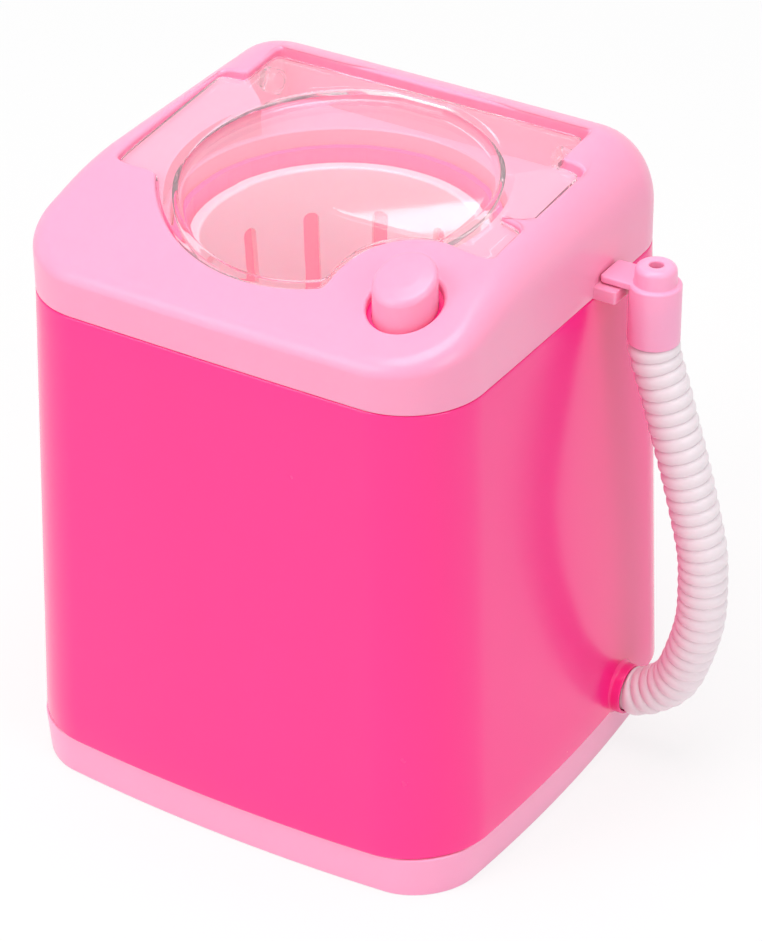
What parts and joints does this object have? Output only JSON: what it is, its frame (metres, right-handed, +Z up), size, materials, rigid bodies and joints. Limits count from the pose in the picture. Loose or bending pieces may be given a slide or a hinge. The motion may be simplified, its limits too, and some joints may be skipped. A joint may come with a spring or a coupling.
{
  "type": "toy washing machine",
  "caption": "Toy top-loading washing machine: tapered pink case, clear hinged lid, spinning slotted basket, push button and a ribbed drain hose at the side.",
  "frame": {"origin": "middle of the underside of the base, on the surface it stands on", "axes": "+Z up, the front with the sloped panel faces -Y, the hose is on the +X side"},
  "size_m": [0.1279, 0.0996, 0.13],
  "materials": {
    "pale_pink": "satin moulded plastic, pale pink",
    "hot_pink": "satin moulded plastic, hot pink",
    "clear_plastic": "clear moulded plastic",
    "basket_plastic": "slightly translucent pinkish white plastic",
    "hose_plastic": "soft white ribbed plastic",
    "white_plastic": "natural moulded plastic",
    "dark_plastic": "dark moulded plastic",
    "steel": "plated steel",
    "brass": "turned brass",
    "rubber": "soft black rubber",
    "cell_label": "plain blue wrapped cell",
    "wire_red": "insulated wire"
  },
  "bodies": {
    "housing": {"base_pan": "pale_pink", "battery_door": "pale_pink", "top_cover": "pale_pink", "body_shell": "hot_pink", "tub": "hot_pink", "drain_hose": "hose_plastic", "gear_bracket": "white_plastic", "motor_end_cap": "white_plastic", "switch_plate": "white_plastic", "drain_pipe": "white_plastic", "switch_body": "dark_plastic", "shaft_seal": "rubber", "shaft_bush": "brass", "lower_bush": "brass", "motor_terminal_1": "brass", "motor_terminal_2": "brass", "switch_terminal_1": "brass", "switch_terminal_2": "brass", "battery_front": "cell_label", "battery_rear": "cell_label", "wire_battery_to_switch": "wire_red", "wire_switch_to_motor": "wire_red", "wire_motor_to_battery": "wire_red", "battery_door_screw": "steel", "base_screw_1": "steel", "base_screw_2": "steel", "base_screw_3": "steel", "base_screw_4": "steel", "cover_screw_1": "steel", "cover_screw_2": "steel", "cover_screw_3": "steel", "cover_screw_4": "steel", "tub_screw_1": "steel", "tub_screw_2": "steel", "tub_screw_3": "steel", "bracket_screw_1": "steel", "bracket_screw_2": "steel", "bracket_screw_3": "steel", "motor_screw_1": "steel", "motor_screw_2": "steel", "switch_plate_screw_1": "steel", "switch_plate_screw_2": "steel", "motor_can": "steel", "battery_bridge_contact": "steel", "battery_positive_contact": "steel", "battery_negative_contact": "steel", "battery_spring_front": "steel", "battery_spring_rear": "steel", "button_spring": "steel"},
    "lid": {"lid": "clear_plastic"},
    "basket": {"basket": "basket_plastic", "pulsator": "pale_pink", "basket_screw": "steel", "drive_shaft": "steel", "basket_gear": "white_plastic"},
    "motor_rotor": {"motor_shaft": "steel", "motor_pinion": "brass"},
    "button": {"control_button": "pale_pink", "switch_plunger": "white_plastic"},
    "hose_end": {"hose_end_cap": "pale_pink"}
  },
  "joints": [
    {"name": "lid_hinge", "type": "hinge", "parent": "housing", "child": "lid", "pos_m": [0, 0.026, 0.125], "axis": [-1, 0, 0], "range_deg": [0, 105]},
    {"name": "basket_spin", "type": "hinge", "parent": "housing", "child": "basket", "pos_m": [0, -0.0015, 0.08], "axis": [0, 0, 1], "continuous": true},
    {"name": "pinion_spin", "type": "hinge", "parent": "housing", "child": "motor_rotor", "pos_m": [0, -0.0165, 0.044], "axis": [0, 0, 1], "continuous": true},
    {"name": "button_press", "type": "slide", "parent": "housing", "child": "button", "axis": [0, 0, -1], "range_m": [0, 0.0025], "stiffness_N_per_m": 300, "springref_m": -0.001, "deforming": ["button_spring"]},
    {"name": "hose_end_lift", "type": "slide", "parent": "housing", "child": "hose_end", "axis": [0, 0, 1], "range_m": [0, 0.008], "deforming": ["drain_hose"]}
  ],
  "couplings": [
    {"joint": "pinion_spin", "follows": "basket_spin", "ratio": -4}
  ]
}
